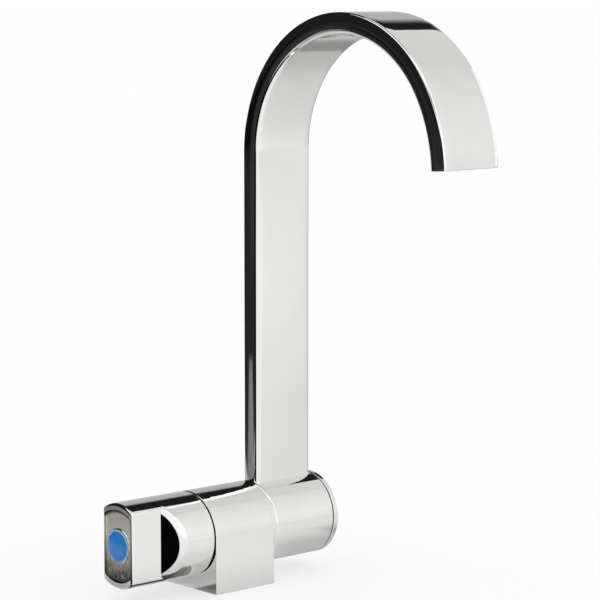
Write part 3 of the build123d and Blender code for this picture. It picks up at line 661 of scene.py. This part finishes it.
def ribbon_section(name):
    """The flat ribbon's section at its foot: a ring with round corners and crowned faces."""
    centre = (RIBBON_MIDDLE, 0, spout_low.z)
    bpy.ops.mesh.primitive_plane_add(size=1, location=centre)
    piece = bpy.context.object
    piece.name = name
    piece.scale = (RIBBON_WIDTH, RIBBON_THICKNESS, 1)
    keep_place()
    edit(piece)
    for side, size in ((1, RIBBON_OUTER_EDGE), (-1, RIBBON_INNER_EDGE)):
        pick("verts", lambda vertex: vertex.co.y * side > 0)
        bpy.ops.mesh.bevel(offset=size, segments=10, affect="VERTICES")
    bpy.ops.mesh.select_all(action="SELECT")
    bpy.ops.mesh.delete(type="ONLY_FACE")
    bpy.ops.mesh.select_all(action="SELECT")
    bpy.ops.mesh.extrude_edges_move(TRANSFORM_OT_translate={"value": (0, 0, 0)})
    narrow = 1 - 2 * RIBBON_WALL / RIBBON_WIDTH
    thin = 1 - 2 * RIBBON_WALL / RIBBON_THICKNESS
    bpy.ops.transform.resize(value=(narrow, thin, 1), center_override=centre)
    pick("edges", lambda edge: edge.calc_length() > 2 * RIBBON_THICKNESS)
    bpy.ops.mesh.subdivide(number_cuts=FACE_CUTS)
    pick("edges", lambda edge: edge.calc_length() > RIBBON_THICKNESS / 3)
    bpy.ops.mesh.subdivide(number_cuts=SIDE_CUTS)
    crown(1, 0, RIBBON_THICKNESS / 2, FACE_CROWN_START, FACE_CROWN_DROP)
    crown(0, 1, RIBBON_WIDTH / 2, 0, SIDE_CROWN_DROP)
    leave_edit()
    return piece


def bend(centre_y, centre_z, angle, steps):
    """Spins the selected end of the ribbon forwards about a centre of its bend."""
    bpy.ops.mesh.spin(
        steps=steps,
        angle=math.radians(angle),
        center=(RIBBON_MIDDLE, centre_y, centre_z),
        axis=(-1, 0, 0),
    )


def ribbon_spout():
    piece = ribbon_section("ribbon_spout")
    edit(piece)
    rise = {"value": (0, 0, ARCH_START - spout_low.z)}
    bpy.ops.mesh.extrude_region_move(TRANSFORM_OT_translate=rise)
    bend(-ARCH_RADIUS, ARCH_START, ARCH_ANGLE, ARCH_STEPS)
    step = ARCH_RADIUS - TAIL_RADIUS
    turn = math.radians(ARCH_ANGLE)
    tail_y = -ARCH_RADIUS + step * math.cos(turn)
    tail_z = ARCH_START + step * math.sin(turn)
    bend(tail_y, tail_z, TAIL_ANGLE, TAIL_STEPS)
    close_up()
    mouth = math.radians(ARCH_ANGLE + TAIL_ANGLE)
    outwards = Vector((0, -math.sin(mouth), math.cos(mouth)))
    round_outline(lambda face: face.normal.dot(outwards) > 0.999, MOUTH_EDGE, 2)
    leave_edit()
    smooth(piece)
    return piece


fit_out(ribbon_spout(), "spout", "chrome", "spout_tube")

# Knob: round skirt scooped away on both sides to a flat tongue
knob_low, knob_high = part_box("handle_knob")
KNOB_FRONT = knob_low.x
KNOB_BACK = knob_high.x
TONGUE_FOOT = KNOB_FRONT + 14.5 * MM
TONGUE_HALF_WIDTH = 9.1 * MM
TONGUE_CORNER = 1.6 * MM
TONGUE_EDGE = 1.1 * MM
SHOULDER_LEAN = 35.5
SHOULDER_ROUNDING = 2.35 * MM
PLATE_FRONT = KNOB_FRONT + 0.8 * MM
PLATE_BACK = PLATE_FRONT + 1.2 * MM
PLATE_CORNER = 1.0 * MM
PLATE_RIM_SIDE = 0.7 * MM
PLATE_RIM_END = 2.4 * MM
PLATE_LEDGE = 1.5 * MM
PLATE_GAP = 0.05 * MM
PLATE_EDGE = 0.55 * MM
KNOB_WEB_FRONT = KNOB_FRONT + 10.5 * MM
KNOB_WEB_BACK = KNOB_WEB_FRONT + 2.2 * MM
KNOB_HUB_BACK = KNOB_WEB_BACK + 8.4 * MM
KNOB_CAVITY_RADIUS = BARREL_RADIUS - 2.6 * MM
SCREW_HOLE_RADIUS = 2.1 * MM
HUB_BORE_RADIUS = 3.35 * MM
PLATE_HOLE_RADIUS = 6.12 * MM


def flat_sided(name, front, back, half_width, radius, corner):
    """A block about the barrel axis with flat sides, round ends and rounded corners."""
    piece = barrel_circle(name, front, radius, True)
    edit(piece)
    for side in (-1, 1):
        trim((front, side * half_width, AXIS_HEIGHT), (0, side, 0), False)
    corner_height = math.sqrt(radius**2 - half_width**2)
    reach = corner * math.tan(math.acos(half_width / radius) / 2)

    def from_corner(vertex):
        rise = abs(vertex.co.z - AXIS_HEIGHT) - corner_height
        return math.hypot(abs(vertex.co.y) - half_width, rise)

    pick("verts", lambda vertex: CLOSE < from_corner(vertex) < 1.5 * reach)
    bpy.ops.mesh.dissolve_verts()
    pick("verts", lambda vertex: from_corner(vertex) < CLOSE)
    bpy.ops.mesh.bevel(offset=reach, segments=6, affect="VERTICES")
    bpy.ops.mesh.select_all(action="SELECT")
    along = {"value": (back - front, 0, 0)}
    bpy.ops.mesh.extrude_region_move(TRANSFORM_OT_translate=along)
    close_up()
    leave_edit()
    return piece


def round_front(piece, size, segments):
    """Rounds the outline of the face that looks out of the knob's end."""
    edit(piece)
    round_outline(lambda face: face.normal.x < -0.999, size, segments)
    leave_edit()


def knob_skirt():
    """The round skirt, cut by two planes that lean back from the tongue's foot."""
    front = KNOB_FRONT + TONGUE_EDGE
    outline = [(front, 0), (front, BARREL_RADIUS), (KNOB_BACK, BARREL_RADIUS), (KNOB_BACK, 0)]
    piece = turned("scooped_knob", outline)
    round_rings(piece, BARREL_EDGE, (KNOB_BACK, BARREL_RADIUS))
    edit(piece)
    lean = math.radians(SHOULDER_LEAN)
    for side in (-1, 1):
        foot = (TONGUE_FOOT, side * TONGUE_HALF_WIDTH, AXIS_HEIGHT)
        trim(foot, (-math.cos(lean), side * math.sin(lean), 0), True)
    bpy.ops.mesh.normals_make_consistent(inside=False)
    round_outline(
        lambda face: abs(face.normal.x + math.cos(lean)) < 0.001, SHOULDER_ROUNDING, 14
    )
    close_up()
    leave_edit()
    return piece


def scooped_knob():
    piece = knob_skirt()
    tongue = flat_sided(
        "tongue", KNOB_FRONT, KNOB_HUB_BACK, TONGUE_HALF_WIDTH, BARREL_RADIUS, TONGUE_CORNER
    )
    round_front(tongue, TONGUE_EDGE, 8)
    join(piece, tongue)
    before = KNOB_FRONT - TONGUE_EDGE
    beyond = KNOB_BACK + TONGUE_EDGE
    side = TONGUE_HALF_WIDTH - PLATE_RIM_SIDE
    end = BARREL_RADIUS - PLATE_RIM_END
    cut(piece, flat_sided("recess", before, PLATE_BACK, side, end, PLATE_CORNER))
    side -= PLATE_LEDGE
    end -= PLATE_LEDGE
    cut(piece, flat_sided("pocket", before, KNOB_WEB_FRONT, side, end, PLATE_CORNER))
    screw_hole = [(before, 0), (before, SCREW_HOLE_RADIUS), (KNOB_WEB_BACK, SCREW_HOLE_RADIUS)]
    hub_bore = [(KNOB_WEB_BACK, HUB_BORE_RADIUS), (KNOB_HUB_BACK, HUB_BORE_RADIUS)]
    cavity = [(KNOB_HUB_BACK, KNOB_CAVITY_RADIUS), (beyond, KNOB_CAVITY_RADIUS), (beyond, 0)]
    cut(piece, turned("knob_bore", screw_hole + hub_bore + cavity))
    smooth(piece, 28.0)
    return piece


def brushed_end_plate():
    side = TONGUE_HALF_WIDTH - PLATE_RIM_SIDE - PLATE_GAP
    end = BARREL_RADIUS - PLATE_RIM_END - PLATE_GAP
    piece = flat_sided("brushed_end_plate", PLATE_FRONT, PLATE_BACK, side, end, PLATE_CORNER)
    round_front(piece, PLATE_EDGE, 5)
    before = PLATE_FRONT - MM
    beyond = PLATE_BACK + MM
    hole = [(before, 0), (before, PLATE_HOLE_RADIUS), (beyond, PLATE_HOLE_RADIUS), (beyond, 0)]
    cut(piece, turned("plate_hole", hole))
    smooth(piece)
    return piece


fit_out(scooped_knob(), "handle", "chrome", "handle_knob")
fit_out(brushed_end_plate(), "handle", "brushed_plate", "end_plate")

# Index button
ring_low, ring_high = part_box("index_ring")
lens_low, lens_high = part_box("index_lens")
RING_RADIUS = ring_high.y
RING_EDGE = 0.46 * MM
RING_BORE_EDGE = 0.2 * MM
RING_STEM_RADIUS = 6.1 * MM
RING_STEM_BORE = 5.22 * MM
RING_FLANGE_THICKNESS = 0.5 * MM
RING_LEDGE_DEPTH = 0.25 * MM
LENS_RADIUS = lens_high.y
LENS_CLEARANCE = 0.02 * MM
LENS_EDGE = 0.4 * MM
LENS_EDGE_HEIGHT = 0.35 * MM
LENS_RISE = 1.35 * MM
LENS_STEPS = 24
LENS_FIRST_STEP = 4


def button_ring():
    """Bright flange round the lens, rounded over towards the plate."""
    front, back = ring_low.x, ring_high.x
    flange_back = front + RING_FLANGE_THICKNESS
    ledge = front + RING_LEDGE_DEPTH
    bore = LENS_RADIUS + LENS_CLEARANCE
    flange = [(front, bore), (front, RING_RADIUS), (flange_back, RING_RADIUS)]
    stem = [(flange_back, RING_STEM_RADIUS), (back, RING_STEM_RADIUS)]
    inside = [(back, RING_STEM_BORE), (ledge, RING_STEM_BORE), (ledge, bore)]
    piece = turned("button_ring", flange + stem + inside)
    round_rings(piece, RING_EDGE, (front, RING_RADIUS))
    round_rings(piece, RING_BORE_EDGE, (front, bore))
    smooth(piece)
    return piece


def button_lens():
    """Blue dome: a short straight edge, then an arc to the middle.

    The arc's first steps are left out, which gives the edge's rounding its room.
    """
    dome_height = LENS_RISE - LENS_EDGE_HEIGHT
    dome_radius = (LENS_RADIUS**2 + dome_height**2) / (2 * dome_height)
    seat = lens_low.x + LENS_RISE
    edge_turn = math.asin(LENS_RADIUS / dome_radius)
    corners = [(seat, 0), (seat, LENS_RADIUS)]
    for step in [0, *range(LENS_FIRST_STEP, LENS_STEPS)]:
        turn = edge_turn * (1 - step / LENS_STEPS)
        drop = dome_radius * (1 - math.cos(turn))
        corners.append((lens_low.x + drop, dome_radius * math.sin(turn)))
    piece = turned("button_lens", corners + [(lens_low.x, 0)])
    round_rings(piece, LENS_EDGE, (seat - LENS_EDGE_HEIGHT, LENS_RADIUS))
    smooth(piece)
    return piece


fit_out(button_ring(), "handle", "chrome", "index_ring")
fit_out(button_lens(), "handle", "blue_lens", "index_lens")

# Studio: floor, light cards and surroundings, which mirrors see by direction and place
FLOOR_HALF = 20.0
LIGHT_HEIGHT = 0.55


def studio_axes(x, y):
    """The studio's level axes, turned 42 degrees: left to right, front right to back left."""
    cosine, sine = 0.743, 0.669
    return x * cosine + y * sine, y * cosine - x * sine


def front_glow(x, y):
    """The table in front of the tap, brighter to the left and paler far out."""
    left_to_right, back_left = studio_axes(x, y)
    key = (0.84 - left_to_right * 1.2).larger(0.69).smaller(0.95)
    far = back_left.rise(-0.9, -2.5)
    return (key + back_left.rise(-0.3, -0.9) * 0.07) * (1 - far) + far * 0.86


def back_glow(x, y):
    """The grey table behind the tap, with a shade that the arch's inside mirrors."""
    shade = y.rise(0.07, 0.1) * y.rise(0.3, 0.16) * x.rise(0.02, 0.12)
    beside_block = x.rise(-0.016, -0.02) * y.rise(0.1, 0.06)
    beside_knob = x.rise(-0.07, -0.078) * y.rise(0.064, 0.054)
    return 0.52 - shade * 0.22 - beside_block * 0.12 + beside_knob * 0.26


def table_glow(x, y):
    """The whole table as far as its left and back edges, with painted shade close to the barrel.
    """
    left_to_right, back_left = studio_axes(x, y)
    behind = y.rise(-0.07, 0.035)
    glow = front_glow(x, y) * (1 - behind) + behind * back_glow(x, y)
    # Painted shade under the sleeve and beside the cap, fading out away from the tap.
    beside_cap = x.rise(0.058, 0.07) * y.rise(-0.05, -0.02) * y.rise(0.12, 0.08)
    under_sleeve = x.rise(0.02, 0.04) * y.rise(-0.035, -0.015) * y.rise(0.06, 0.03)
    near_tap = x.rise(0.16, 0.1)
    barrel_shade = beside_cap.larger(under_sleeve * 0.38) * near_tap * 0.5
    depth = 0.18 + left_to_right.rise(-0.045, -0.055) * 0.04
    left_edge = 1 - (back_left - depth).rise(0.0, 0.02) * x.rise(-0.08, -0.11)
    back_edge = (1 - y.rise(0.26, 0.3) * x.rise(0.05, -0.05)) * y.rise(0.54, 0.5)
    return glow * (1 - barrel_shade) * left_edge * back_edge


def room_glow(x, y):
    """The dark room past the table, with a faint far table."""
    left_to_right, back_left = studio_axes(x, y)
    far_table = left_to_right.rise(-0.07, -0.03) * left_to_right.rise(0.07, 0.03) * 0.19
    distant = 0.02 - back_left.rise(1.8, 3.0) * 0.016
    distant_left = left_to_right.rise(-0.03, -0.055) * back_left.rise(0.9, 1.4) * 0.016
    return far_table * back_left.rise(0.62, 0.52) + distant + distant_left


def dark_patches(x, y, first_mirror):
    """Dims the floor that the scoop mirrors, and paints a shadow on the floor under the knob that
    only first mirrors see.
    """
    beside_scoop = (y - x * 0.6 - 0.009).rise(-0.012, 0.0) * y.rise(0.025, 0.0)
    left_dark = x.rise(-0.06, -0.08) * beside_scoop
    near_block = x.rise(-0.0155, -0.032).between(0.62, 0.9)
    # Painted shadow: a dark patch on the floor under the knob, seen only in first reflections.
    knob_shadow = y.rise(-0.018, -0.0145) * y.rise(0.0, -0.004) * x.rise(-0.0153, -0.0158)
    return (1 - left_dark * 0.998) * (1 - knob_shadow * near_block * first_mirror)


def studio_floor(g):
    """Pale matt floor. Mirrors see it bright in front, grey behind and dark off the table."""
    x, y, _ = g.axes(g.place())
    path = g.node("ShaderNodeLightPath")
    first_mirror = Number(g, path.outputs["Glossy Depth"]).rise(1.6, 1.4)
    glow = table_glow(x, y).larger(room_glow(x, y)) * dark_patches(x, y, first_mirror)
    emission = g.node("ShaderNodeEmission", None, {"Color": glow}).outputs[0]
    paper = g.node("ShaderNodeBsdfDiffuse", None, {"Color": (0.93, 0.93, 0.93, 1)}).outputs[0]
    lift = g.node("ShaderNodeEmission", None, {"Strength": 1.0}).outputs[0]
    matt = g.node("ShaderNodeMixShader", None, {0: 0.65, 1: paper, 2: lift}).outputs[0]
    mirrored = path.outputs["Is Glossy Ray"]
    mixed = g.node("ShaderNodeMixShader", None, {0: mirrored, 1: matt, 2: emission}).outputs[0]
    g.node("ShaderNodeOutputMaterial", None, {"Surface": mixed})


def flat_card(name, low, high, dress):
    """A level rectangle between two corners, which belongs to the studio."""
    middle = (Vector(low) + Vector(high)) / 2
    bpy.ops.mesh.primitive_plane_add(size=1, location=middle)
    card = bpy.context.object
    card.name = name
    card.scale = (high[0] - low[0], high[1] - low[1], 1)
    keep_place()
    card.data.materials.append(material(name, dress))
    card.data.materials[0].cycles.emission_sampling = "NONE"
    return card


def light_card(name, low, high, strength):
    """A glowing card overhead that only mirrors see."""

    def dress(g):
        inputs = {"Color": (1, 1, 0.99, 1), "Strength": strength}
        shader = g.node("ShaderNodeEmission", None, inputs).outputs[0]
        g.node("ShaderNodeOutputMaterial", None, {"Surface": shader})

    card = flat_card(name, (*low, LIGHT_HEIGHT), (*high, LIGHT_HEIGHT), dress)
    card.visible_camera = False
    card.visible_shadow = False
    card.visible_diffuse = False


flat_card("floor", (-FLOOR_HALF, -FLOOR_HALF, 0), (FLOOR_HALF, FLOOR_HALF, 0), studio_floor)
light_card("overhead_light", (-0.02, -0.17), (1.2, 0.125), strength=0.73)
light_card("left_light", (-0.6, -0.32), (-0.16, 0.27), strength=1.3)


def studio_world(g):
    """Mirrors see a white front right, a grey wall behind and dark gaps. All else sees white."""
    x, y, z = g.axes(g.node("ShaderNodeTexCoord").outputs["Generated"])
    left_to_right, back_left = studio_axes(x, y)
    front_right = back_left.rise(-0.44, -0.5)
    front = (0.88 - left_to_right * 0.45).larger(0.64) + z.rise(0.02, 0.2) * 0.04
    upper_left = z.rise(0.2, 0.26) * z.rise(0.4, 0.34) * y.rise(0.45, 0.3) * x.rise(-0.1, -0.3)
    front_left = (x * 0.545 - y * 0.839).rise(0.0, 0.06) * x.rise(0.45, 0.3)
    wall_start = x.rise(-0.12, 0.05).larger(x.rise(-0.45, -0.3) * z.rise(0.2, 0.12))
    wall_end = wall_start * (1 - z.rise(0.15, 0.25) * x.rise(0.58, 0.42))
    wall_edge = (y * 0.81 - z).rise(-0.14, 0.08) * wall_end
    right_window = x.rise(0.71, 0.78) * 1.1
    wall = 0.46 + z.rise(0.3, 0.1) * 0.08 + z.rise(0.1, 0.0) * 0.25
    side = (upper_left.larger(front_left) * 1.05).larger(right_window)
    seen = (front_right * front).larger(wall_edge * wall).larger(side) + 0.013
    mirrored = g.number("ShaderNodeLightPath", output="Is Glossy Ray")
    strength = mirrored * seen + (1 - mirrored) * 1.04
    shader = g.node("ShaderNodeBackground", None, {"Color": strength}).outputs[0]
    g.node("ShaderNodeOutputWorld", None, {"Surface": shader})


world = bpy.data.worlds.new("studio")
world.use_nodes = True
world.cycles.sampling_method = "NONE"
studio_world(Graph(world.node_tree))
bpy.context.scene.world = world

# Camera at the photograph's place
camera_data = bpy.data.cameras.new("camera")
camera_data.sensor_width = 36.0
camera_data.lens = 150.255
camera_data.clip_start = 0.01
camera = bpy.data.objects.new("camera", camera_data)
camera.location = (-0.63804, -0.7613, 0.24185)
camera.rotation_euler = (math.radians(82.731), 0, math.radians(-41.874))
bpy.context.scene.collection.objects.link(camera)
bpy.context.scene.camera = camera
bpy.context.scene.view_settings.view_transform = "Standard"
